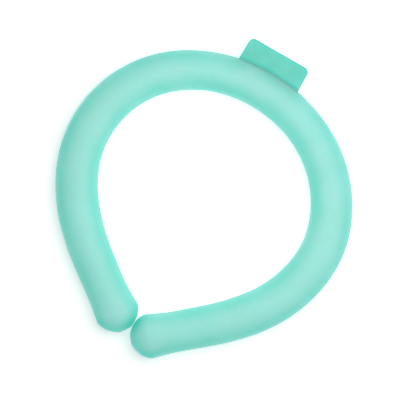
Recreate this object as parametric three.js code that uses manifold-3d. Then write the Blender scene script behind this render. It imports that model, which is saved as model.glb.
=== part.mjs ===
// A cooling neck ring lying flat: a soft tube full of cooling gel, bent into an open loop that
// closes round the neck, with a flat welded filling tab at the nape.
// Millimetres, +Z up. The loop lies in the XY plane, the nape towards +Y, the throat gap towards -Y.
import * as THREE from "three";
import { mergeVertices } from "three/addons/utils/BufferGeometryUtils.js";
import Module from "manifold-3d";

// Driving dimensions of the tube
const loopLength = 425.4; // along the middle of the tube, from tip to tip
const tubeWidth = 21.7; // outside diameter where the tube is fullest
const skinWall = 1.5;
const gelClearance = 0.3; // between the gel and the inside of the skin
const tipLength = 9.2; // the domed end beyond its shoulder
const throatGap = 0.4; // between the two tips

// Driving dimensions of the filling tab
const tabDepth = 11.1; // from the outside of the tube to the tab's free edge
const tabEndWidth = 34.4;
const tabRootWidth = 35.2;
const tabThickness = 2.4;
const tabCorner = 2.3; // radius of the two free corners
const rootLength = 2.6; // of the thicker weld at the foot of the tab
const rootThickness = 4.6;
const mouthWidth = 14; // of the filling mouth that the tab closes
const mouthHeight = 2.4;
const seamClearance = 0.3; // between the tab and the skin

// Mesh fineness
const outerSides = 24;
const innerSides = 12;
const stationSpacing = 6.4;
const cornerSegments = 6;
const weldSteps = 4;

// How the tube bends from the nape to each tip. share: part of that half's length.
// turn: degrees turned towards the throat over that part.
const leftHalf = {
  share: 0.4987,
  bends: [
    { share: 0.1, turn: 16.3 },
    { share: 0.1, turn: 16.9 },
    { share: 0.1, turn: 21.0 },
    { share: 0.1, turn: 20.8 },
    { share: 0.1, turn: 20.8 },
    { share: 0.1, turn: 20.9 },
    { share: 0.1, turn: 15.2 },
    { share: 0.1, turn: 9.9 },
    { share: 0.2, turn: 4.8 },
  ],
};
const rightHalf = {
  share: 0.5013,
  bends: [
    { share: 0.1, turn: 15.2 },
    { share: 0.1, turn: 16.9 },
    { share: 0.1, turn: 18.9 },
    { share: 0.1, turn: 19.3 },
    { share: 0.1, turn: 23.6 },
    { share: 0.1, turn: 18.6 },
    { share: 0.1, turn: 16.7 },
    { share: 0.1, turn: 9.6 },
    { share: 0.2, turn: 2.2 },
  ],
};

// How full the tube is. at: share of the way from the nape to the tip's shoulder.
// width: share of tubeWidth.
const fullness = [
  { at: 0.0, width: 0.92 },
  { at: 0.14, width: 0.925 },
  { at: 0.26, width: 0.957 },
  { at: 0.38, width: 0.985 },
  { at: 0.46, width: 1.0 },
  { at: 0.72, width: 1.0 },
  { at: 0.86, width: 0.972 },
  { at: 0.94, width: 0.966 },
  { at: 0.985, width: 1.03 },
  { at: 1.0, width: 1.055 },
];

// The flat-sided dome that ends each half. at: share of tipLength from the shoulder.
// width: share of the shoulder's width.
const dome = [
  { at: 0.28, width: 0.92 },
  { at: 0.57, width: 0.765 },
  { at: 0.8, width: 0.54 },
  { at: 1.0, width: 0.28 },
];

// The route of the tube's middle line, in flat arcs from the nape at the origin
function bentHalf({ share, bends }, closing) {
  const length = share * loopLength;
  const arcs = [];
  let start = 0;
  let heading = 0;
  const foot = new THREE.Vector2();
  for (const bend of bends) {
    const run = bend.share * length;
    const turn = THREE.MathUtils.degToRad(bend.turn) + closing * bend.share;
    const arc = { start, run, heading, turn, foot: foot.clone() };
    arcs.push(arc);
    foot.copy(arcPoint(arc, run));
    heading -= turn;
    start += run;
  }
  return { length, arcs };
}

// A point on an arc, a distance along it
function arcPoint({ run, heading, turn, foot }, along) {
  const part = (turn * along) / run;
  const straight = Math.abs(part) < Number.EPSILON;
  const chord = straight ? along : (along * Math.sin(part / 2)) / (part / 2);
  const aim = heading - part / 2;
  return new THREE.Vector2(foot.x + chord * Math.cos(aim), foot.y + chord * Math.sin(aim));
}

// Place and heading on the whole route: negative positions lie left of the nape
function routeAt(route, position) {
  const left = position < 0;
  const { arcs } = left ? route.left : route.right;
  const distance = Math.abs(position);
  const arc = arcs.findLast(({ start }) => start <= distance);
  const along = distance - arc.start;
  const point = arcPoint(arc, along);
  const heading = arc.heading - (arc.turn * along) / arc.run;
  return left
    ? { x: -point.x, y: point.y, heading: -heading }
    : { x: point.x, y: point.y, heading };
}

function bentRoute(closing) {
  return { left: bentHalf(leftHalf, closing), right: bentHalf(rightHalf, closing) };
}

// The radius of the tube at a position, up to the tips' shoulders
function tubeRadius(route, position) {
  const run = (position < 0 ? route.left.length : route.right.length) - tipLength;
  const at = Math.min(Math.abs(position) / run, 1);
  const next = Math.max(fullness.findIndex((row) => row.at >= at), 1);
  const before = fullness[next - 1];
  const after = fullness[next];
  const width = THREE.MathUtils.mapLinear(at, before.at, after.at, before.width, after.width);
  return (width * tubeWidth) / 2;
}

// The dome's rows at one end, from the shoulder out. side: -1 left, 1 right.
function domeRows(route, side) {
  const shoulder = side < 0 ? tipLength - route.left.length : route.right.length - tipLength;
  const radius = tubeRadius(route, shoulder);
  return dome.map(({ at, width }) => ({
    position: shoulder + side * at * tipLength,
    radius: width * radius,
  }));
}

// How far apart the two tips stand, in plan: below zero they overlap. Each direction that a line
// between them could take is tried, up to the widest slant, and the widest gap is the true one.
const widestSlant = 80;

function tipSeparation(route) {
  const outline = (side) => {
    const ends = domeRows(route, side);
    const shoulder = ends[0].position - side * dome[0].at * tipLength;
    const rows = [{ position: shoulder, radius: tubeRadius(route, shoulder) }, ...ends];
    return rows.flatMap(({ position, radius }) => {
      const { x, y, heading } = routeAt(route, position);
      return [radius, -radius].map(
        (across) => [x + across * Math.sin(heading), y - across * Math.cos(heading)],
      );
    });
  };
  const left = outline(-1);
  const right = outline(1);
  let widest = -Infinity;
  for (let slant = -widestSlant; slant <= widestSlant; slant += 1) {
    const aim = THREE.MathUtils.degToRad(slant);
    const reach = ([x, y]) => x * Math.cos(aim) + y * Math.sin(aim);
    const clear = Math.min(...right.map(reach)) - Math.max(...left.map(reach));
    widest = Math.max(widest, clear);
  }
  return widest;
}

// The tube springs open or closed, evenly along its length, until the tips stand throatGap apart.
// The turn that each half gains is found by halving the range that it can be in.
const mostSpring = THREE.MathUtils.degToRad(40);
const halvings = 40;

function closedRoute() {
  let open = -mostSpring;
  let shut = mostSpring;
  for (let step = 0; step < halvings; step += 1) {
    const middle = (open + shut) / 2;
    if (tipSeparation(bentRoute(middle)) > throatGap) open = middle;
    else shut = middle;
  }
  return bentRoute(open);
}

// Rows of the tube's side view, tip to tip: position along the route and radius there
function tubeRows(route) {
  const first = tipLength - route.left.length;
  const last = route.right.length - tipLength;
  const steps = Math.round((last - first) / stationSpacing);
  const run = Array.from({ length: steps + 1 }, (_, index) => {
    const position = first + ((last - first) * index) / steps;
    return { position, radius: tubeRadius(route, position) };
  });
  const leftDome = domeRows(route, -1);
  const rightDome = domeRows(route, 1);
  return [
    { position: leftDome.at(-1).position, radius: 0 },
    ...leftDome.reverse(),
    ...run,
    ...rightDome,
    { position: rightDome.at(-1).position, radius: 0 },
  ];
}

// The same rows moved inwards, square to the surface, by one inset
function insetRows(rows, inset) {
  const normal = (from, to) =>
    new THREE.Vector2(from.radius - to.radius, to.position - from.position).normalize();
  return rows.map((row, index) => {
    const before = index > 0 ? normal(rows[index - 1], row) : new THREE.Vector2(-1, 0);
    const after = index < rows.length - 1 ? normal(row, rows[index + 1]) : new THREE.Vector2(1, 0);
    const move = inset / (1 + before.dot(after));
    return {
      position: row.position - (before.x + after.x) * move,
      radius: row.radius === 0 ? 0 : row.radius - (before.y + after.y) * move,
    };
  });
}

// A straight turned tube bent along the route, its underside resting at height zero.
// The radius is that of the flats, so flats lie above, below and at both sides.
function bentTube(route, rows, sides) {
  const corner = 1 / Math.cos(Math.PI / sides);
  const profile = rows.map(({ position, radius }) => new THREE.Vector2(radius * corner, position));
  const geometry = new THREE.LatheGeometry(profile, sides, Math.PI / sides);
  const places = geometry.getAttribute("position");
  const point = new THREE.Vector3();
  for (let index = 0; index < places.count; index += 1) {
    point.fromBufferAttribute(places, index);
    const { x, y, heading } = routeAt(route, point.y);
    places.setXYZ(
      index,
      x + point.x * Math.sin(heading),
      y - point.x * Math.cos(heading),
      point.z + tubeRadius(route, point.y),
    );
  }
  return geometry;
}

// Between three.js geometry and manifold solids
const wasm = await Module();
wasm.setup();

const weldingDistance = 1e-4; // corners closer than this are one corner

function toSolid(geometry) {
  const bare = geometry.clone();
  bare.deleteAttribute("normal");
  bare.deleteAttribute("uv");
  const merged = mergeVertices(bare, weldingDistance);
  const corners = merged.index.array;
  const triangles = [];
  for (let index = 0; index < corners.length; index += 3) {
    const [a, b, c] = corners.slice(index, index + 3);
    if (a !== b && b !== c && c !== a) triangles.push(a, b, c);
  }
  return new wasm.Manifold(
    new wasm.Mesh({
      numProp: 3,
      vertProperties: new Float32Array(merged.getAttribute("position").array),
      triVerts: new Uint32Array(triangles),
    }),
  );
}

function toGeometry(solid) {
  const { vertProperties, triVerts } = solid.getMesh();
  const geometry = new THREE.BufferGeometry();
  geometry.setAttribute("position", new THREE.BufferAttribute(vertProperties, 3));
  geometry.setIndex(new THREE.BufferAttribute(triVerts, 1));
  geometry.computeVertexNormals();
  return geometry;
}

// A block across the tab: width along X, from one Y to another, height centred on a level
function block(width, from, to, height, level) {
  const geometry = new THREE.BoxGeometry(width, to - from, height);
  geometry.translate(0, (from + to) / 2, level);
  return geometry;
}

// The tab's flat plate in plan, from inside the tube to its free edge with two round corners
function tabPlate(reach, level) {
  const end = tabEndWidth / 2;
  const root = tabRootWidth / 2;
  const outline = new THREE.Shape();
  outline.moveTo(-root, 0);
  outline.lineTo(root, 0);
  outline.lineTo(end, reach - tabCorner);
  outline.absarc(end - tabCorner, reach - tabCorner, tabCorner, 0, Math.PI / 2);
  outline.absarc(tabCorner - end, reach - tabCorner, tabCorner, Math.PI / 2, Math.PI);
  const geometry = new THREE.ExtrudeGeometry(outline, {
    depth: tabThickness,
    bevelEnabled: false,
    curveSegments: cornerSegments,
  });
  geometry.translate(0, 0, level - tabThickness / 2);
  return geometry;
}

// The weld that thickens the tab's foot, a wedge in side view that follows the tube's curve:
// the tube itself, grown by the weld's length, cut down to the wedge's height
function tabWeld(reach, level) {
  const layers = [];
  for (let step = 0; step < weldSteps; step += 1) {
    const grown = insetRows(rows, (-rootLength * (step + 1)) / weldSteps);
    const height = THREE.MathUtils.lerp(rootThickness, tabThickness, step / weldSteps);
    const slab = toSolid(block(tabRootWidth, 0, reach, height, level));
    layers.push(toSolid(bentTube(route, grown, outerSides)).intersect(slab));
  }
  return layers.reduce((whole, layer) => whole.add(layer));
}

// The pieces
const route = closedRoute();
const rows = tubeRows(route);
const napeRadius = tubeRadius(route, 0);
const cavityReach = napeRadius - skinWall;
const tabReach = napeRadius + tabDepth;

function makeSkin() {
  const outside = toSolid(bentTube(route, rows, outerSides));
  const cavity = toSolid(bentTube(route, insetRows(rows, skinWall), innerSides));
  const mouth = toSolid(
    block(
      mouthWidth + 2 * seamClearance,
      cavityReach / 2,
      napeRadius + rootLength,
      mouthHeight + 2 * seamClearance,
      napeRadius,
    ),
  );
  return toGeometry(outside.subtract(cavity).subtract(mouth));
}

function makeTab() {
  const clearOfSkin = toSolid(bentTube(route, insetRows(rows, -seamClearance), outerSides));
  const plate = toSolid(tabPlate(tabReach, napeRadius));
  const stem = toSolid(
    block(mouthWidth, cavityReach, napeRadius + rootLength, mouthHeight, napeRadius),
  );
  const weld = tabWeld(tabReach, napeRadius);
  return toGeometry(plate.add(weld).subtract(clearOfSkin).add(stem));
}

function makeGel() {
  return bentTube(route, insetRows(rows, skinWall + gelClearance), innerSides);
}

const finishes = {
  skin: { color: 0x8fdccb, roughness: 0.42, metalness: 0 },
  tab: { color: 0x74d2c2, roughness: 0.42, metalness: 0 },
  gel: { color: 0xc9f0e6, roughness: 0.6, metalness: 0 },
};

function piece(name, geometry, finish) {
  const mesh = new THREE.Mesh(geometry, new THREE.MeshStandardMaterial(finish));
  mesh.name = name;
  return mesh;
}

const loop = new THREE.Group();
loop.add(
  piece("ring_skin", makeSkin(), finishes.skin),
  piece("seal_tab", makeTab(), finishes.tab),
  piece("gel_core", makeGel(), finishes.gel),
);

// The origin is under the middle of the ring
const extent = new THREE.Box3().setFromObject(loop);
const middle = extent.getCenter(new THREE.Vector3());
loop.position.set(-middle.x, -middle.y, -extent.min.z);

const coolingNeckRing = new THREE.Group();
coolingNeckRing.add(loop);

export default coolingNeckRing;
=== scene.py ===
"""A cooling neck ring, dressed: its frosted skin, its welded filling tab and the gel inside.

The ring lies flat and is seen from straight above, its tab up and to the right. Lengths are in
millimetres in the frame of the CAD model and become metres by MM, and angles are in degrees.
"""

import logging
import math
from collections.abc import Callable, Sequence
from dataclasses import dataclass
from enum import Enum

import bmesh
import bpy
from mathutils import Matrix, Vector
from mathutils.kdtree import KDTree

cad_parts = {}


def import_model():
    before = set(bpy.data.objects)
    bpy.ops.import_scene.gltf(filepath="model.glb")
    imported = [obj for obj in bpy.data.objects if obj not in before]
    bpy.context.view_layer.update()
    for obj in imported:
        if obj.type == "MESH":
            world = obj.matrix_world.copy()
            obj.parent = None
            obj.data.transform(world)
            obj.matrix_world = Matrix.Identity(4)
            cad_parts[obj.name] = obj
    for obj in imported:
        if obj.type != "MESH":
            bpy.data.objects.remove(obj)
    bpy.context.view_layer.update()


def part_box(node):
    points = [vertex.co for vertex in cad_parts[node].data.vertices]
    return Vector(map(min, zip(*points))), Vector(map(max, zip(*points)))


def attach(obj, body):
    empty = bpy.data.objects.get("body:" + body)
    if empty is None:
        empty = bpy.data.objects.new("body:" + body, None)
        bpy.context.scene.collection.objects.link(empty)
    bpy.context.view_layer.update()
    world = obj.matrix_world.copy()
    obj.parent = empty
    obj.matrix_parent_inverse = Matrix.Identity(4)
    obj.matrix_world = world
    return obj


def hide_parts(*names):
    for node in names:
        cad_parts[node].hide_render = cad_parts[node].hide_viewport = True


LOG = logging.getLogger("cooling_neck_ring")
MM = 0.001
BODY = "root"

# Places that are nearer to each other than this, in millimetres, count as one
NEAR = 0.1
MERGE_DISTANCE = 0.002

# The name of the tone on each mesh, and its value for plain plastic, which also paints the shade
# along the tube's sides and at the tab's foot
TONE = "tone"
SOLID_AND_SHADE_TONE = 0.5

# The colour sockets of a Mix node, whose names are those of its number sockets too
MIX_A, MIX_B, MIX_RESULT = 6, 7, 2

# Nearly all values of a noise lie between these
NOISE_LOW, NOISE_HIGH = 0.3, 0.7


class Element(Enum):
    """What a selection in edit mode picks, by the name that its operator takes."""

    CORNER = "VERT"
    EDGE = "EDGE"
    FACE = "FACE"


class Side(Enum):
    """The half of the ring, as the sign of a position along its route."""

    LEFT = -1
    RIGHT = 1


@dataclass(frozen=True)
class Bend:
    """A stretch of one half of the ring.

    Attributes:
        share: its part of that half's length.
        turn: degrees that it turns towards the throat.
    """

    share: float
    turn: float


@dataclass(frozen=True)
class Half:
    """One half of the ring, from the nape to its tip.

    Attributes:
        share: its part of the whole loop's length.
        bends: its stretches, from the nape on.
    """

    share: float
    bends: tuple[Bend, ...]


@dataclass(frozen=True)
class Level:
    """A row of a table of widths.

    Attributes:
        at: share of the way along the stretch that the table describes.
        width: share of the width that the table describes.
    """

    at: float
    width: float


@dataclass(frozen=True)
class Section:
    """A round section of the tube.

    Attributes:
        position: millimetres along the route from the nape, negative on the left.
        radius: its radius in millimetres.
    """

    position: float
    radius: float


@dataclass(frozen=True)
class Place:
    """A point of the route in the ring's frame, in millimetres, and its heading in radians."""

    x: float
    y: float
    heading: float


def start_editing(piece: bpy.types.Object) -> None:
    """Opens edit mode on one piece alone, with nothing of it selected.

    Args:
        piece: the mesh object to edit.
    """
    bpy.ops.object.select_all(action="DESELECT")
    piece.select_set(True)
    bpy.context.view_layer.objects.active = piece
    bpy.ops.object.mode_set(mode="EDIT")
    bpy.ops.mesh.select_mode(type=Element.CORNER.value)
    bpy.ops.mesh.select_all(action="DESELECT")


def stop_editing() -> None:
    """Goes back to object mode."""
    bpy.ops.object.mode_set(mode="OBJECT")


def select(piece: bpy.types.Object, element: Element, test: Callable[[Vector], bool]) -> None:
    """Selects just the corners, edges or faces whose middle passes a test.

    Args:
        piece: the mesh object in edit mode.
        element: what to pick.
        test: takes a middle point in metres and says whether to pick it.
    """
    bpy.ops.mesh.select_mode(type=element.value)
    bpy.ops.mesh.select_all(action="DESELECT")
    mesh = bmesh.from_edit_mesh(piece.data)
    middles: dict[Element, Callable[[], list[tuple[object, Vector]]]] = {
        Element.CORNER: lambda: [(v, v.co) for v in mesh.verts],
        Element.EDGE: lambda: [(e, (e.verts[0].co + e.verts[1].co) / 2) for e in mesh.edges],
        Element.FACE: lambda: [(f, f.calc_center_median()) for f in mesh.faces],
    }
    for item, middle in middles[element]():
        if test(middle):
            item.select_set(True)
    mesh.select_flush_mode()
    bmesh.update_edit_mesh(piece.data)


def move(step: Vector) -> None:
    """Moves what is selected by a step in millimetres."""
    bpy.ops.transform.translate(value=step * MM)


def finish_mesh(piece: bpy.types.Object, sharp_angle: float) -> None:
    """Closes the modelling of a piece: doubles merged, faces outwards, smooth up to an angle.

    Args:
        piece: the mesh object, in object mode.
        sharp_angle: edges that bend by more than this many degrees stay sharp.
    """
    start_editing(piece)
    bpy.ops.mesh.select_all(action="SELECT")
    bpy.ops.mesh.remove_doubles(threshold=MERGE_DISTANCE * MM)
    bpy.ops.mesh.normals_make_consistent(inside=False)
    stop_editing()
    bpy.ops.object.shade_smooth_by_angle(angle=math.radians(sharp_angle))


def paint_tone(piece: bpy.types.Object, value: Callable[[Vector], float]) -> None:
    """Stores a tone at each corner of a mesh, for its material to read.

    Args:
        piece: the mesh object.
        value: gives the tone for a place in metres.
    """
    layer = piece.data.attributes.new(TONE, "FLOAT", "POINT")
    layer.data.foreach_set("value", [value(corner.co) for corner in piece.data.vertices])


def smooth_step(low: float, high: float, value: float) -> float:
    """Rises softly from 0 at low to 1 at high."""
    share = min(max((value - low) / (high - low), 0.0), 1.0)
    return share * share * (3 - 2 * share)


@dataclass(frozen=True)
class Route:
    """The middle line of the tube, in flat arcs from the nape to both tips.

    Attributes:
        nape_x: the nape's place across the ring.
        nape_y: the nape's place along it.
        length: the whole line, tip to tip.
        spring: degrees that each half closes beyond its table, so that the tips nearly touch.
        left: the bends of the left half.
        right: the bends of the right half.
    """

    nape_x: float
    nape_y: float
    length: float = 425.4
    spring: float = 0.104
    left: Half = Half(
        0.4987,
        (
            Bend(0.1, 16.3),
            Bend(0.1, 16.9),
            Bend(0.1, 21.0),
            Bend(0.1, 20.8),
            Bend(0.1, 20.8),
            Bend(0.1, 20.9),
            Bend(0.1, 15.2),
            Bend(0.1, 9.9),
            Bend(0.2, 4.8),
        ),
    )
    right: Half = Half(
        0.5013,
        (
            Bend(0.1, 15.2),
            Bend(0.1, 16.9),
            Bend(0.1, 18.9),
            Bend(0.1, 19.3),
            Bend(0.1, 23.6),
            Bend(0.1, 18.6),
            Bend(0.1, 16.7),
            Bend(0.1, 9.6),
            Bend(0.2, 2.2),
        ),
    )

    def half_length(self, side: Side) -> float:
        """The length of one half, from the nape to its tip."""
        return self.length * (self.left if side is Side.LEFT else self.right).share

    def at(self, position: float) -> Place:
        """Finds a point of the route.

        Args:
            position: millimetres along it from the nape, negative on the left.

        Returns:
            The point and the heading there, towards the right tip.
        """
        side = Side.LEFT if position < 0 else Side.RIGHT
        half = self.left if side is Side.LEFT else self.right
        x = y = heading = 0.0
        rest = abs(position)
        for bend in half.bends:
            last = bend is half.bends[-1]
            run = bend.share * self.half_length(side)
            turn = math.radians(bend.turn + self.spring * bend.share)
            part = rest if last else min(rest, run)
            half_turn = turn * part / run / 2
            chord = part * math.sin(half_turn) / half_turn if half_turn else part
            x += chord * math.cos(heading - half_turn)
            y += chord * math.sin(heading - half_turn)
            heading -= 2 * half_turn
            rest -= part
            if rest <= 0:
                break
        sign = side.value
        return Place(self.nape_x + sign * x, self.nape_y + y, sign * heading)

    def bend_radius(self, position: float) -> float:
        """Measures how tightly the route bends.

        Args:
            position: millimetres along it from the nape.

        Returns:
            The radius of its arc there, in millimetres.
        """
        step = 1.0
        turned = self.at(position - step).heading - self.at(position + step).heading
        return 2 * step / turned


def inset_sections(sections: Sequence[Section], inset: float) -> list[Section]:
    """Moves a row of sections inwards, square to the surface that they make.

    Args:
        sections: the outer sections, tip to tip.
        inset: how far inwards, in millimetres.

    Returns:
        The inner sections, as many.
    """

    def normal(low: Section, high: Section) -> Vector:
        """The way out, square to the surface between two sections."""
        return Vector((low.radius - high.radius, high.position - low.position)).normalized()

    moved = []
    for index, section in enumerate(sections):
        before = normal(sections[index - 1], section) if index else Vector((-1, 0))
        last = index == len(sections) - 1
        after = Vector((1, 0)) if last else normal(section, sections[index + 1])
        shift = (before + after) * inset / (1 + before.dot(after))
        moved.append(Section(section.position - shift.x, section.radius - shift.y))
    return moved


def round_corners(
    sections: Sequence[Section],
    corners: set[int],
    reach: float,
    most: float = 0.4,
    parts: int = 4,
) -> list[Section]:
    """Rounds some corners of the profile that a row of sections makes.

    Args:
        sections: tip to tip.
        corners: the ids of the sections to round.
        reach: how far each rounding reaches along the profile, in millimetres.
        most: the largest share of a stretch that one rounding takes.
        parts: stretches in each rounding.

    Returns:
        The sections, with each corner drawn as a soft curve of several.
    """
    ends = (Section(sections[0].position, 0.0), Section(sections[-1].position, 0.0))
    padded = [ends[0], *sections, ends[1]]
    rounded = []
    for before, section, after in zip(padded, sections, padded[2:]):
        if id(section) not in corners:
            rounded.append(section)
            continue
        corner = Vector((section.position, section.radius))
        arms = []
        for other in (before, after):
            arm = Vector((other.position, other.radius)) - corner
            arms.append(arm.normalized() * min(reach, arm.length * most))
        for part in range(parts + 1):
            t = part / parts
            point = corner + arms[0] * (1 - t) ** 2 + arms[1] * t**2
            rounded.append(Section(point.x, point.y))
    return rounded


@dataclass(frozen=True)
class TubeForm:
    """How thick the tube is along its route, and the dome that ends each half.

    Attributes:
        route: the tube's middle line.
        width: outside diameter where the tube is fullest.
        tip_length: the dome beyond its shoulder.
        spacing: between sections along the tube.
        edge_reach: how far the soft rounding of each corner of the domes reaches.
        fullness: widths from the nape to a shoulder, as shares of the width.
        dome: widths from the shoulder to the end, as shares of the shoulder's.
    """

    route: Route
    width: float = 21.7
    tip_length: float = 9.2
    spacing: float = 2.6
    edge_reach: float = 0.8
    fullness: tuple[Level, ...] = (
        Level(0.0, 0.92),
        Level(0.14, 0.925),
        Level(0.26, 0.957),
        Level(0.38, 0.985),
        Level(0.46, 1.0),
        Level(0.72, 1.0),
        Level(0.86, 0.972),
        Level(0.94, 0.966),
        Level(0.985, 1.03),
        Level(1.0, 1.055),
    )
    dome: tuple[Level, ...] = (
        Level(0.28, 0.92),
        Level(0.57, 0.765),
        Level(0.8, 0.54),
        Level(1.0, 0.28),
    )

    def shoulder(self, side: Side) -> float:
        """The position of one half's shoulder."""
        return side.value * (self.route.half_length(side) - self.tip_length)

    def radius(self, position: float) -> float:
        """Gives the tube's radius, up to the shoulders.

        Args:
            position: millimetres along the route from the nape.

        Returns:
            The radius there, on a smooth curve through the table's rows.
        """
        side = Side.LEFT if position < 0 else Side.RIGHT
        at = min(position / self.shoulder(side), 1.0)
        rows = self.fullness
        last = len(rows) - 1
        index = next((i for i in range(last) if at <= rows[i + 1].at), last - 1)
        low, high = rows[index], rows[index + 1]
        span = high.at - low.at
        slopes = []
        for row in (index, index + 1):
            before, after = rows[max(row - 1, 0)], rows[min(row + 1, last)]
            slopes.append((after.width - before.width) / (after.at - before.at) * span)
        t = (at - low.at) / span
        share = (
            (2 * t**3 - 3 * t**2 + 1) * low.width
            + (t**3 - 2 * t**2 + t) * slopes[0]
            + (3 * t**2 - 2 * t**3) * high.width
            + (t**3 - t**2) * slopes[1]
        )
        return share * self.width / 2

    def dome_sections(self, side: Side) -> list[Section]:
        """Gives the sections of one dome.

        Args:
            side: the half that it ends.

        Returns:
            The sections, from the shoulder out.
        """
        shoulder = self.shoulder(side)
        radius = self.radius(shoulder)
        return [
            Section(shoulder + side.value * row.at * self.tip_length, row.width * radius)
            for row in self.dome
        ]

    def sections(self, inset: float = 0.0) -> list[Section]:
        """Gives all sections of the tube, with the corners of its domes rounded.

        Args:
            inset: how far inside the tube's surface they lie, in millimetres.

        Returns:
            The sections, from the left tip to the right one.
        """
        first, last = self.shoulder(Side.LEFT), self.shoulder(Side.RIGHT)
        steps = round((last - first) / self.spacing)
        positions = [first + (last - first) * step / steps for step in range(steps + 1)]
        run = [Section(position, self.radius(position)) for position in positions]
        left = [*reversed(self.dome_sections(Side.LEFT)), run[0]]
        right = [run[-1], *self.dome_sections(Side.RIGHT)]
        corners = {id(section) for section in (*left, *right)}
        whole = [*left, *run[1:-1], *right]
        if inset:
            moved = inset_sections(whole, inset)
            corners = {id(new) for new, old in zip(moved, whole) if id(old) in corners}
            whole = moved
        return round_corners(whole, corners, self.edge_reach)

    def tip_outline(self, side: Side) -> list[Vector]:
        """Draws one tip's outline as seen from above.

        Args:
            side: the half that the tip ends.

        Returns:
            Its points in millimetres, from side to side round its end.
        """
        shoulder = self.shoulder(side)
        rows = [Section(shoulder, self.radius(shoulder)), *self.dome_sections(side)]
        points = []
        for sign, row in [*((1, row) for row in rows), *((-1, row) for row in reversed(rows))]:
            middle = self.route.at(row.position)
            across = Vector((-math.sin(middle.heading), math.cos(middle.heading)))
            points.append(Vector((middle.x, middle.y)) + across * sign * row.radius)
        return points


class RouteMap:
    """Finds which part of the route lies nearest to a place."""

    def __init__(self, route: Route, step: float = 1.0) -> None:
        """Lays points along the route.

        Args:
            route: the tube's middle line.
            step: between the points, in millimetres.
        """
        last = math.floor(route.half_length(Side.RIGHT) / step)
        self.positions = [step * index for index in range(-last, last + 1)]
        self.tree = KDTree(len(self.positions))
        for index, position in enumerate(self.positions):
            middle = route.at(position)
            self.tree.insert((middle.x, middle.y, 0), index)
        self.tree.balance()

    def position(self, spot: Vector) -> float:
        """The position along the route nearest to a place in plan, all in millimetres."""
        return self.positions[self.tree.find((spot.x, spot.y, 0))[1]]


def line_distance(spot: Vector, line: Sequence[Vector]) -> float:
    """Measures how far in plan a place lies from a line of straight stretches.

    Args:
        spot: the place.
        line: the ends of the stretches, in order.

    Returns:
        The shortest distance, in the unit of both.
    """
    gaps = []
    for low, high in zip(line, line[1:]):
        along = high - low
        share = min(max((spot - low).dot(along) / along.length_squared, 0.0), 1.0)
        gaps.append((spot - low - along * share).length)
    return min(gaps)


def srgb(hex_colour: str) -> tuple[float, float, float, float]:
    """Turns an sRGB hex colour to the linear one that a shader takes.

    Args:
        hex_colour: six hex digits.

    Returns:
        Linear red, green and blue, and an alpha of 1.
    """
    shares = [int(hex_colour[i : i + 2], 16) / 255 for i in (0, 2, 4)]
    linear = [s / 12.92 if s <= 0.04045 else ((s + 0.055) / 1.055) ** 2.4 for s in shares]
    return (linear[0], linear[1], linear[2], 1.0)


def add_node(
    tree: bpy.types.NodeTree,
    kind: str,
    inputs: dict[str | int, object] | None = None,
    **settings: object,
) -> bpy.types.Node:
    """Adds a shader node with its settings, values and links.

    Args:
        tree: the node tree.
        kind: the node's type name.
        inputs: a value, or the output socket to link, for each named or numbered input.
        settings: the node's own properties.

    Returns:
        The new node.
    """
    node = tree.nodes.new(kind)
    for name, value in settings.items():
        setattr(node, name, value)
    for name, value in (inputs or {}).items():
        if isinstance(value, bpy.types.NodeSocket):
            tree.links.new(value, node.inputs[name])
        else:
            node.inputs[name].default_value = value
    return node


def new_material(name: str) -> bpy.types.Material:
    """Makes a material whose node tree is still empty.

    Args:
        name: the material's name.

    Returns:
        The material.
    """
    material = bpy.data.materials.new(name)
    material.use_nodes = True
    material.node_tree.nodes.clear()
    return material


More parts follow.
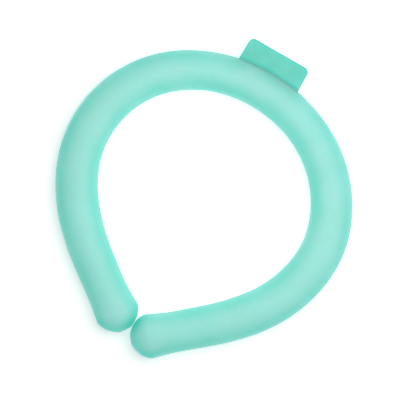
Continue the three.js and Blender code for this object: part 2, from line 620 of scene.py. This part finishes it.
@dataclass(frozen=True)
class FrostedTpu:
    """Thermoplastic polyurethane, moulded soft and left with a fine matt, frosted skin.

    It is milky and translucent: red light stops close to the surface, green and blue wander on
    through the tube, so what faces away from the light turns a deeper mint instead of grey, and
    the frosting lays a pale veil over what faces it. Where gel lies behind it, it is paler than
    where it is plastic alone. The mesh's tone also paints shade into its colour: a deeper band
    along the tube's sides, dark lines along the parting line and the tab's edges, and a deeper
    band in the crease at the tab's foot.

    Attributes:
        name: the material's name.
        over_gel: the colour where gel lies behind the skin, where the mesh's tone is 1.
        solid_and_shade: the colour where it is plastic alone, and the painted shade along the
            tube's
        sides and in the crease at the tab's foot, where the mesh's tone is SOLID_AND_SHADE_TONE.
        edge_shade: painted shade, dark along the parting line and the tab's edges, where the
            mesh's
        tone is 0.
        cloud: the colour of the faint clouds in it.
        cloud_size: millimetres between the clouds.
        cloud_span: noise values between which a cloud thickens.
        cloud_most: the share of the cloud's colour where it is thickest.
        reach: how far red, green and blue light wander in it, in millimetres.
        roughness: of the frosted skin.
        roughness_spread: how much the pits add to it or take off.
        grain: millimetres between the pits of the frosting, drawn coarser than the real
            0.1 mm so that it shows.
        grain_depth: of the pits, in millimetres.
        dent: millimetres between the soft dents of the skin.
        dent_depth: of the dents, in millimetres.
    """

    name: str
    over_gel: str
    solid_and_shade: str
    edge_shade: str
    cloud: str
    cloud_size: float = 17.0
    cloud_span: tuple[float, float] = (0.42, 0.72)
    cloud_most: float = 0.6
    reach: tuple[float, float, float] = (0.7, 40.0, 36.5)
    roughness: float = 0.65
    roughness_spread: float = 0.05
    grain: float = 0.5
    grain_depth: float = 0.045
    dent: float = 26.0
    dent_depth: float = 0.12

    def colour(
        self, tree: bpy.types.NodeTree, place: bpy.types.NodeSocket
    ) -> bpy.types.NodeSocket:
        """Adds the colour that follows the mesh's tone, with the faint clouds over it.

        Args:
            tree: the material's node tree.
            place: the object coordinates.

        Returns:
            The colour's socket.
        """
        tone = add_node(tree, "ShaderNodeAttribute", attribute_name=TONE).outputs["Fac"]
        ramp = add_node(tree, "ShaderNodeValToRGB", {"Fac": tone})
        # Painted shade: the tone's low end darkens the parting line and the tab's edges, and its
        # middle deepens the tube's sides and the tab's foot
        ramp.color_ramp.elements[0].color = srgb(self.edge_shade)
        ramp.color_ramp.elements[1].color = srgb(self.over_gel)
        ramp.color_ramp.elements.new(SOLID_AND_SHADE_TONE).color = srgb(self.solid_and_shade)
        clouds = add_node(
            tree,
            "ShaderNodeTexNoise",
            {"Vector": place, "Scale": 1 / (self.cloud_size * MM), "Detail": 3.0},
        )
        cloudiness = add_node(
            tree,
            "ShaderNodeMapRange",
            {
                "Value": clouds.outputs["Fac"],
                "From Min": self.cloud_span[0],
                "From Max": self.cloud_span[1],
                "To Min": 0.0,
                "To Max": self.cloud_most,
            },
        ).outputs["Result"]
        # The painted dark lines, whose tone is 0, stay free of clouds
        cloud_share = add_node(
            tree, "ShaderNodeMath", {0: cloudiness, 1: tone}, operation="MULTIPLY"
        ).outputs["Value"]
        return add_node(
            tree,
            "ShaderNodeMix",
            {"Factor": cloud_share, MIX_A: ramp.outputs["Color"], MIX_B: srgb(self.cloud)},
            data_type="RGBA",
        ).outputs[MIX_RESULT]

    def relief(
        self,
        tree: bpy.types.NodeTree,
        place: bpy.types.NodeSocket,
        pits: bpy.types.NodeSocket,
    ) -> bpy.types.NodeSocket:
        """Adds the relief of the skin: its soft dents, and the pits of the frosting on them.

        Args:
            tree: the material's node tree.
            place: the object coordinates.
            pits: the height of the frosting.

        Returns:
            The normal's socket.
        """
        dents = add_node(
            tree,
            "ShaderNodeTexNoise",
            {"Vector": place, "Scale": 1 / (self.dent * MM), "Detail": 1.0},
        )
        dented = add_node(
            tree,
            "ShaderNodeBump",
            {"Height": dents.outputs["Fac"], "Strength": 1.0, "Distance": self.dent_depth * MM},
        )
        return add_node(
            tree,
            "ShaderNodeBump",
            {
                "Height": pits,
                "Strength": 1.0,
                "Distance": self.grain_depth * MM,
                "Normal": dented.outputs["Normal"],
            },
        ).outputs["Normal"]

    def build(self) -> bpy.types.Material:
        """Makes the material, which reads the tone painted on its mesh.

        Returns:
            The material.
        """
        material = new_material(self.name)
        tree = material.node_tree
        place = add_node(tree, "ShaderNodeTexCoord").outputs["Object"]
        pits = add_node(
            tree,
            "ShaderNodeTexNoise",
            {"Vector": place, "Scale": 1 / (self.grain * MM), "Detail": 2.0},
        ).outputs["Fac"]
        roughness = add_node(
            tree,
            "ShaderNodeMapRange",
            {
                "Value": pits,
                "From Min": NOISE_LOW,
                "From Max": NOISE_HIGH,
                "To Min": self.roughness - self.roughness_spread,
                "To Max": self.roughness + self.roughness_spread,
            },
        ).outputs["Result"]
        shader = add_node(
            tree,
            "ShaderNodeBsdfPrincipled",
            {
                "Base Color": self.colour(tree, place),
                "Roughness": roughness,
                "IOR": 1.5,
                "Normal": self.relief(tree, place, pits),
                "Subsurface Weight": 1.0,
                "Subsurface Radius": tuple(reach / max(self.reach) for reach in self.reach),
                "Subsurface Scale": max(self.reach) * MM,
            },
        )
        add_node(tree, "ShaderNodeOutputMaterial", {"Surface": shader.outputs["BSDF"]})
        return material


@dataclass(frozen=True)
class CoolingGel:
    """A wax gel that melts near 28 degrees: set, it is milky with frost-like clouds in it.

    Attributes:
        name: the material's name.
        set_colour: where the wax has set.
        clear_colour: where it is still half clear.
        crystal_size: millimetres between the clouds of wax crystals.
        reach: how far light wanders in it, in millimetres.
        reach_shares: the shares of it that red, green and blue light go.
    """

    name: str = "milky_cooling_gel"
    set_colour: str = "DDF7F0"
    clear_colour: str = "B9EBDF"
    crystal_size: float = 6.0
    reach: float = 4.0
    reach_shares: tuple[float, float, float] = (0.6, 1.0, 0.9)

    def build(self) -> bpy.types.Material:
        """Makes the material.

        Returns:
            The material.
        """
        material = new_material(self.name)
        tree = material.node_tree
        place = add_node(tree, "ShaderNodeTexCoord").outputs["Object"]
        crystals = add_node(
            tree,
            "ShaderNodeTexNoise",
            {
                "Vector": place,
                "Scale": 1 / (self.crystal_size * MM),
                "Detail": 4.0,
                "Distortion": 0.8,
            },
        )
        colour = add_node(
            tree,
            "ShaderNodeMix",
            {
                "Factor": crystals.outputs["Fac"],
                MIX_A: srgb(self.clear_colour),
                MIX_B: srgb(self.set_colour),
            },
            data_type="RGBA",
        ).outputs[MIX_RESULT]
        shader = add_node(
            tree,
            "ShaderNodeBsdfPrincipled",
            {
                "Base Color": colour,
                "Roughness": 0.55,
                "IOR": 1.44,
                "Subsurface Weight": 0.6,
                "Subsurface Radius": self.reach_shares,
                "Subsurface Scale": self.reach * MM,
            },
        )
        add_node(tree, "ShaderNodeOutputMaterial", {"Surface": shader.outputs["BSDF"]})
        return material


@dataclass(frozen=True)
class SweptTube:
    """A round outline swept along the route, section by section, and closed at both tips.

    Attributes:
        name: the piece's name.
        form: the tube's form.
        sides: corners round the outline.
        bead_height: of the moulded parting line along both sides, 0 for none.
        bead_width: of the parting line at its foot.
        melting: rounds of smoothing at the very ends, where the parting line melts away.
        melt_reach: how far from an end's middle that smoothing goes, in radii of the end.
        cap_ring: width of the ring of faces round each flat end.
    """

    name: str
    form: TubeForm
    sides: int = 72
    bead_height: float = 0.0
    bead_width: float = 1.2
    melting: int = 8
    melt_reach: float = 1.6
    cap_ring: float = 0.8

    def section_centre(self, position: float) -> Vector:
        """The middle of the section at a position, in metres: its underside rests at zero."""
        place = self.form.route.at(position)
        return Vector((place.x, place.y, self.form.radius(position))) * MM

    def start_outline(self, section: Section) -> bpy.types.Object:
        """Adds the first outline, with the small bead of the parting line on both sides.

        Args:
            section: the first section.

        Returns:
            The object, in edit mode, its outline selected.
        """
        bpy.ops.object.select_all(action="DESELECT")
        bpy.ops.mesh.primitive_circle_add(
            vertices=self.sides,
            radius=section.radius * MM,
            fill_type="NOTHING",
            location=self.section_centre(section.position),
            rotation=(0, math.pi / 2, self.form.route.at(section.position).heading),
        )
        piece = bpy.context.object
        piece.name = self.name
        piece.data.name = self.name
        bpy.ops.object.transform_apply(location=True, rotation=True, scale=True)
        start_editing(piece)
        if self.bead_height > 0:
            self.raise_bead(piece, section)
        bpy.ops.mesh.select_all(action="SELECT")
        return piece

    def raise_bead(self, piece: bpy.types.Object, section: Section) -> None:
        """Raises the outline's two corners at mid height into narrow beads.

        Args:
            piece: the object in edit mode, its outline at a tip.
            section: the section that the outline is for.
        """
        centre = self.section_centre(section.position)
        shrink = section.radius / (self.form.width / 2)
        heading = self.form.route.at(section.position).heading
        across = Vector((-math.sin(heading), math.cos(heading), 0))
        half_foot = self.bead_width / 2 * shrink
        for sign in (-1, 1):
            side = centre + across * sign * section.radius * MM
            near = half_foot * MM / 5
            select(piece, Element.CORNER, lambda middle: (middle - side).length < near)
            bpy.ops.mesh.bevel(affect="VERTICES", offset=half_foot * MM, segments=2)
            select(piece, Element.CORNER, lambda middle: (middle - side).length < near)
            move(across * sign * self.bead_height * shrink)

    def sweep(self, sections: Sequence[Section]) -> bpy.types.Object:
        """Extrudes the outline from section to section.

        Args:
            sections: tip to tip.

        Returns:
            The closed mesh object, in object mode.
        """
        route = self.form.route
        piece = self.start_outline(sections[0])
        for before, after in zip(sections, sections[1:]):
            centre = self.section_centre(after.position)
            step = centre - self.section_centre(before.position)
            turn = route.at(after.position).heading - route.at(before.position).heading
            bpy.ops.mesh.extrude_region_move(TRANSFORM_OT_translate={"value": step})
            bpy.ops.transform.rotate(value=-turn, orient_axis="Z", center_override=centre)
            growth = after.radius / before.radius
            bpy.ops.transform.resize(value=(growth,) * 3, center_override=centre)
        self.close_ends()
        if self.bead_height > 0:
            self.melt_bead(piece, sections)
        stop_editing()
        LOG.info("%s: swept through %d sections", self.name, len(sections))
        return piece

    def close_ends(self) -> None:
        """Fills the two flat ends with rings of faces round a middle point."""
        bpy.ops.mesh.select_mode(type=Element.EDGE.value)
        bpy.ops.mesh.select_all(action="DESELECT")
        bpy.ops.mesh.select_non_manifold(extend=False, use_wire=False, use_multi_face=False)
        bpy.ops.mesh.edge_face_add()
        bpy.ops.mesh.select_mode(type=Element.FACE.value)
        bpy.ops.mesh.inset(thickness=self.cap_ring * MM)
        bpy.ops.mesh.poke()

    def melt_bead(self, piece: bpy.types.Object, sections: Sequence[Section]) -> None:
        """Smooths the very ends, where the beads of both sides run together.

        Args:
            piece: the closed tube, in edit mode.
            sections: tip to tip.
        """
        for end in (sections[0], sections[-1]):
            centre = self.section_centre(end.position)
            near = self.melt_reach * end.radius * MM
            select(piece, Element.CORNER, lambda middle: (middle - centre).length < near)
            bpy.ops.mesh.vertices_smooth(factor=0.5, repeat=self.melting)


@dataclass(frozen=True)
class FrostedSkin:
    """The skin: the whole outer form of the tube, with its parting line and domed ends.

    Attributes:
        form: the tube's form.
        finish: its material.
        end_wall: how far in from a tip's outline the skin looks like plastic alone.
        bead_height: of the moulded parting line.
        seam_shade_width: how far from the parting line its dark painted shade reaches.
        side_shade_height: up to here from the parting line the tube's sides carry painted shade, a
            deeper colour.
        thin_height: from here on that painted shade is gone and the skin looks palest.
        side_shade: how deep that painted shade is, where 1 is as deep as plastic alone.
    """

    form: TubeForm
    finish: FrostedTpu
    end_wall: float = 4.2
    bead_height: float = 0.2
    seam_shade_width: float = 0.8
    side_shade_height: float = 7.0
    thin_height: float = 11.0
    side_shade: float = 0.55

    def tone(self, places: RouteMap, tips: list[list[Vector]], place: Vector) -> float:
        """Gives the tone of a place: gel behind the skin, the tips' plain plastic, painted shade
        along the tube's sides, and the dark painted shade along the parting line.

        Args:
            places: finds the part of the route that a place belongs to.
            tips: the outlines of both tips.
            place: on the skin, in metres.

        Returns:
            The tone.
        """
        spot = Vector((place.x, place.y)) / MM
        from_seam = abs(place.z / MM - self.form.radius(places.position(spot)))
        from_tip = min(line_distance(spot, tip) for tip in tips)
        gel = smooth_step(0, self.end_wall, from_tip)
        # Painted shade: the tube's sides, near the parting line, turn a deeper colour
        thin = smooth_step(self.side_shade_height, self.thin_height, from_seam)
        gel *= 1 - self.side_shade * (1 - thin)
        # Painted shade: a dark line along the parting line, which from above lies on the outline
        return min(smooth_step(0, self.seam_shade_width, from_seam), SOLID_AND_SHADE_TONE + (1 - SOLID_AND_SHADE_TONE) * gel)

    def build(self) -> bpy.types.Object:
        """Models and dresses the skin.

        Returns:
            The finished piece.
        """
        tube = SweptTube("frosted_skin", self.form, bead_height=self.bead_height)
        piece = tube.sweep(self.form.sections())
        finish_mesh(piece, sharp_angle=50)
        places = RouteMap(self.form.route)
        tips = [self.form.tip_outline(side) for side in Side]
        paint_tone(piece, lambda place: self.tone(places, tips, place))
        piece.data.materials.append(self.finish.build())
        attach(piece, BODY)
        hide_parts("ring_skin")
        return piece


@dataclass(frozen=True)
class GelCore:
    """The gel that fills the skin, seen only as its milkiness.

    Attributes:
        form: the tube's form.
        finish: its material.
        depth: of the gel's surface below the outside of the skin, in millimetres.
    """

    form: TubeForm
    finish: CoolingGel
    depth: float = 1.8

    def build(self) -> bpy.types.Object:
        """Models and dresses the gel.

        Returns:
            The finished piece.
        """
        tube = SweptTube("milky_gel", self.form, sides=40)
        piece = tube.sweep(self.form.sections(self.depth))
        finish_mesh(piece, sharp_angle=50)
        piece.data.materials.append(self.finish.build())
        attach(piece, BODY)
        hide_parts("gel_core")
        return piece


@dataclass(frozen=True)
class FillingTab:
    """The filling spout, pressed flat and welded shut, with a thicker weld along the tube.

    Attributes:
        form: the tube's form.
        finish: its material.
        depth: from the outside of the tube to the free edge.
        end_width: at the free edge.
        root_width: at the tube.
        thickness: of the plate.
        corner: radius of the two free corners.
        root_length: of the weld at the foot.
        root_thickness: of the weld where it meets the tube.
        buried: how far the foot runs into the tube's skin.
        edge_round: radius along the plate's edges.
        margin: width of the rim round the pressed panel.
        panel_slope: width of the panel's sloping side.
        panel_depth: of the pressed panel, on both faces.
        weld_shade_band: width of the band at the foot that looks deeper in colour, partly for the
        thicker weld and partly as painted shade in the crease along the tube.
        rim_shade_width: how far in from the free edges they look deeper in colour.
        columns: lines along the plate, both edges' among them, which let the foot follow the
            tube.
        weld_steps: rows of faces on the weld's slope.
        corner_parts: stretches in each free corner.
        edge_parts: stretches in the rounding of the edges.
    """

    form: TubeForm
    finish: FrostedTpu
    depth: float = 11.1
    end_width: float = 34.4
    root_width: float = 35.2
    thickness: float = 2.4
    corner: float = 2.3
    root_length: float = 2.6
    root_thickness: float = 4.6
    buried: float = 1.0
    edge_round: float = 0.55
    margin: float = 0.9
    panel_slope: float = 0.8
    panel_depth: float = 0.12
    weld_shade_band: float = 2.2
    rim_shade_width: float = 1.32
    columns: int = 17
    weld_steps: int = 5
    corner_parts: int = 8
    edge_parts: int = 3

    @property
    def level(self) -> float:
        """The height of the plate's middle, which is that of the tube at the nape."""
        return self.form.radius(0)

    @property
    def foot(self) -> float:
        """The place along Y where the plate leaves the tube, at the middle of the nape."""
        return self.form.route.nape_y + self.form.radius(0)

    def foot_fall(self, x: float) -> float:
        """Measures how far the round tube falls back from the foot.

        Args:
            x: the place across the ring, in millimetres.

        Returns:
            The distance along Y there, in millimetres.
        """
        outer = self.form.route.bend_radius(0) + self.form.radius(0)
        away = x - self.form.route.nape_x
        return outer - math.sqrt(outer**2 - away**2)

    def start_plate(self) -> bpy.types.Object:
        """Adds the plate, tapers it, and rounds its free corners and its edges.

        Returns:
            The object, in edit mode.
        """
        near, far = self.foot - self.buried, self.foot + self.depth
        bpy.ops.object.select_all(action="DESELECT")
        bpy.ops.mesh.primitive_cube_add(
            size=1,
            location=Vector((self.form.route.nape_x, (near + far) / 2, self.level)) * MM,
            scale=Vector((self.root_width, far - near, self.thickness)) * MM,
        )
        piece = bpy.context.object
        piece.name = "welded_tab"
        piece.data.name = "welded_tab"
        bpy.ops.object.transform_apply(location=True, rotation=True, scale=True)
        start_editing(piece)
        far_middle = Vector((self.form.route.nape_x, far, self.level)) * MM
        select(piece, Element.CORNER, lambda middle: far - middle.y / MM < NEAR)
        narrowing = self.end_width / self.root_width
        bpy.ops.transform.resize(value=(narrowing, 1, 1), center_override=far_middle)

        def is_free_corner(middle: Vector) -> bool:
            """Tells the two upright edges at the free corners by their middles."""
            away = (middle - far_middle) / MM
            return abs(away.y) < NEAR and abs(away.z) < NEAR

        select(piece, Element.EDGE, is_free_corner)
        bpy.ops.mesh.bevel(offset=self.corner * MM, segments=self.corner_parts)
        bpy.ops.mesh.select_all(action="DESELECT")
        bpy.ops.mesh.edges_select_sharp(sharpness=math.radians(60))
        bpy.ops.mesh.bevel(offset=self.edge_round * MM, segments=self.edge_parts)
        return piece

    def bisect(self, point: tuple[float, float], normal: tuple[float, float]) -> None:
        """Cuts a line of edges through what is selected by an upright plane.

        Args:
            point: on the plane, in millimetres, as x and y.
            normal: of the plane, as x and y.
        """
        bpy.ops.mesh.bisect(
            plane_co=(point[0] * MM, point[1] * MM, self.level * MM),
            plane_no=(normal[0], normal[1], 0),
        )

    def raise_weld(self, piece: bpy.types.Object) -> None:
        """Thickens the foot into a weld with a hollow slope, and bends it round the tube.

        Args:
            piece: the plate, in edit mode.
        """
        middle_x = self.form.route.nape_x
        slope_end = self.foot + self.root_length
        row = self.root_length / self.weld_steps
        for step in range(self.weld_steps + 1):
            bpy.ops.mesh.select_all(action="SELECT")
            self.bisect((middle_x, self.foot + row * step), (0, 1))
        inner = self.root_width - 2 * self.edge_round
        gap = inner / (self.columns - 1)
        lines = [middle_x - inner / 2 + gap * column for column in range(self.columns)]
        for x in lines[1:-1]:
            select(piece, Element.FACE, lambda at: at.y / MM < slope_end)
            self.bisect((x, self.foot), (1, 0))
        for step in range(self.weld_steps):
            # The first row takes the buried foot with it
            low = self.foot + row * (step - 0.5) if step else self.foot - 2 * self.buried
            high = self.foot + row * (step + 0.5)
            rise = (self.root_thickness - self.thickness) / 2 * (1 - step / self.weld_steps) ** 2
            for sign in (-1, 1):
                select(
                    piece,
                    Element.CORNER,
                    lambda at: low < at.y / MM < high and sign * (at.z / MM - self.level) > NEAR,
                )
                move(Vector((0, 0, sign * rise)))
        for x in lines:
            select(
                piece,
                Element.CORNER,
                lambda at: abs(at.x / MM - x) <= gap / 2 and at.y / MM < slope_end + NEAR,
            )
            move(Vector((0, -self.foot_fall(x), 0)))

    def press_panel(self, piece: bpy.types.Object) -> None:
        """Presses a shallow panel into the top and the underside of the plate.

        Args:
            piece: the plate with its weld, in edit mode.
        """
        # The broad face's middle lies low, because most of its corners are along the weld
        lowest_middle = self.foot + self.root_length - 0.6
        flatness = 0.02
        for sign in (-1, 1):
            face = self.level + sign * self.thickness / 2
            select(
                piece,
                Element.FACE,
                lambda at: abs(at.z / MM - face) < flatness and at.y / MM > lowest_middle,
            )
            bpy.ops.mesh.inset(thickness=self.margin * MM)
            bpy.ops.mesh.inset(thickness=self.panel_slope * MM, depth=-self.panel_depth * MM)

    def tone(self, place: Vector) -> float:
        """Gives the tone of a place: the plate, the deeper weld at its foot with painted shade in
        the crease along the tube, and painted shade along its edges.

        Args:
            place: on the tab, in metres.

        Returns:
            The tone.
        """
        away = abs(place.x / MM - self.form.route.nape_x)
        out = place.y / MM - self.foot
        from_foot = out + self.foot_fall(place.x / MM)
        half_width = (self.root_width + (self.end_width - self.root_width) * out / self.depth) / 2
        from_edge = min(self.depth - out, half_width - away)
        # Deeper at the foot: partly the thicker weld, partly painted shade in the crease along the
        # tube
        plate = smooth_step(self.weld_shade_band / 2, self.weld_shade_band * 1.5, from_foot)
        # Painted shade along the free edges
        rim = smooth_step(0, self.rim_shade_width, from_edge)
        return min(rim, SOLID_AND_SHADE_TONE + (1 - SOLID_AND_SHADE_TONE) * plate)

    def build(self) -> bpy.types.Object:
        """Models and dresses the tab.

        Returns:
            The finished piece.
        """
        piece = self.start_plate()
        self.raise_weld(piece)
        self.press_panel(piece)
        stop_editing()
        finish_mesh(piece, sharp_angle=40)
        paint_tone(piece, self.tone)
        piece.data.materials.append(self.finish.build())
        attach(piece, BODY)
        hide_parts("seal_tab")
        return piece


@dataclass(frozen=True)
class Softbox:
    """A studio light with a white cloth front.

    Attributes:
        name: the light's name.
        direction: degrees from the picture's right, counted towards its top.
        height: degrees above the floor.
        distance: from the ring, in metres.
        size: across its square front, in metres.
        glow: the brightness of its front, where 1 is white in the picture.
    """

    name: str
    direction: float
    height: float
    distance: float
    size: float
    glow: float

    def hang(self, aim: Vector, roll: float) -> None:
        """Hangs the light, turned towards the ring.

        Args:
            aim: the place that it lights, in metres.
            roll: degrees that the picture's right is turned from the ring's +X.
        """
        turn = math.radians(self.direction + roll)
        rise = math.radians(self.height)
        away = Vector(
            (math.cos(rise) * math.cos(turn), math.cos(rise) * math.sin(turn), math.sin(rise))
        )
        bpy.ops.object.light_add(
            type="AREA",
            location=aim + away * self.distance,
            rotation=away.to_track_quat("Z", "Y").to_euler(),
        )
        light = bpy.context.object
        light.name = self.name
        light.data.shape = "SQUARE"
        light.data.size = self.size
        light.data.energy = self.glow * math.pi * self.size**2


@dataclass(frozen=True)
class Studio:
    """The pale floor, the soft light and the camera straight above the ring.

    Attributes:
        roll: degrees that the picture's right is turned from the ring's +X.
        aim_x: the picture's middle across the ring, in millimetres.
        aim_y: the picture's middle along the ring, in millimetres.
        aim_z: the height that is in scale, the middle of the tube.
        view_width: what the picture shows across, in millimetres.
        camera_height: in metres, far off as for a long lens.
        floor_size: in metres.
        floor_drop: millimetres that it lies under the ring, so that the two never mix.
        floor_colour: the floor's, sRGB.
        floor_glow: the light that comes up through it, as on a light table.
        air: the brightness of the light from all round.
        key: the softbox, near the ring and to its right, so that the left is a little dimmer.
    """

    roll: float = 29.93
    aim_x: float = -0.14
    aim_y: float = -0.88
    aim_z: float = 10.5
    view_width: float = 208.0
    camera_height: float = 2.0
    floor_size: float = 6.0
    floor_drop: float = 0.05
    floor_colour: str = "FAFAFA"
    floor_glow: float = 0.4
    air: float = 0.25
    key: Softbox = Softbox(
        "key_softbox", direction=30, height=77, distance=0.5, size=0.38, glow=4.1
    )

    def lay_floor(self) -> None:
        """Lays the pale paper floor that the ring rests on."""
        bpy.ops.object.select_all(action="DESELECT")
        bpy.ops.mesh.primitive_plane_add(
            size=self.floor_size, location=(0, 0, -self.floor_drop * MM)
        )
        floor = bpy.context.object
        floor.name = "paper_floor"
        material = new_material("matt_white_paper")
        tree = material.node_tree
        shader = add_node(
            tree,
            "ShaderNodeBsdfPrincipled",
            {
                "Base Color": srgb(self.floor_colour),
                "Roughness": 0.9,
                "IOR": 1.45,
                "Emission Color": (1, 1, 1, 1),
                "Emission Strength": self.floor_glow,
            },
        )
        add_node(tree, "ShaderNodeOutputMaterial", {"Surface": shader.outputs["BSDF"]})
        floor.data.materials.append(material)

    def light_air(self) -> None:
        """Lights the air all round in plain white."""
        world = bpy.data.worlds.new("soft_air")
        bpy.context.scene.world = world
        world.use_nodes = True
        background = world.node_tree.nodes["Background"]
        background.inputs["Color"].default_value = (1, 1, 1, 1)
        background.inputs["Strength"].default_value = self.air

    def place_camera(self, aim: Vector) -> None:
        """Places the camera above the ring, turned as in the photo.

        Args:
            aim: the place in the picture's middle, in metres.
        """
        bpy.ops.object.camera_add(
            location=aim + Vector((0, 0, self.camera_height)),
            rotation=(0, 0, math.radians(self.roll)),
        )
        camera = bpy.context.object
        camera.name = "overhead_camera"
        camera.data.lens = camera.data.sensor_width * self.camera_height / (self.view_width * MM)
        camera.data.clip_end = 10 * self.camera_height
        bpy.context.scene.camera = camera

    def build(self) -> None:
        """Sets the stage, with colours shown as they are."""
        aim = Vector((self.aim_x, self.aim_y, self.aim_z)) * MM
        self.lay_floor()
        self.key.hang(aim, self.roll)
        self.light_air()
        self.place_camera(aim)
        bpy.context.scene.view_settings.view_transform = "Standard"


def main() -> None:
    """Builds the ring round the CAD frame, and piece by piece."""
    logging.basicConfig(level=logging.INFO, format="%(name)s: %(message)s")
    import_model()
    tab_low, tab_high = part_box("seal_tab")
    form_at_origin = TubeForm(Route(0, 0))
    nape_x = (tab_low.x + tab_high.x) / 2 / MM
    nape_y = tab_high.y / MM - FillingTab.depth - form_at_origin.radius(0)
    form = TubeForm(Route(nape_x, nape_y))
    # The skin's second colour is its tips' plain plastic and the painted shade along the tube's
    # sides; its third is painted shade along the parting line
    skin_finish = FrostedTpu("frosted_tpu_over_gel", "ABE2D6", "68D9C7", "4FAF9D", "B4E6DD")
    # The tab's second colour is deeper over the thicker weld and paints shade in the crease at its
    # foot; its third is painted shade along its edges
    tab_finish = FrostedTpu(
        "welded_tpu",
        "75D0C5",
        "63DDCC",
        "3FA592",
        "8AD9CF",
        cloud_size=6.0,
        reach=(0.4, 5.0, 4.5),
        dent=9.0,
    )
    pieces = [
        FrostedSkin(form, skin_finish).build(),
        FillingTab(form, tab_finish).build(),
        GelCore(form, CoolingGel()).build(),
    ]
    for piece in pieces:
        LOG.info("%s: %d faces", piece.name, len(piece.data.polygons))
    Studio().build()


if __name__ == "__main__":
    main()
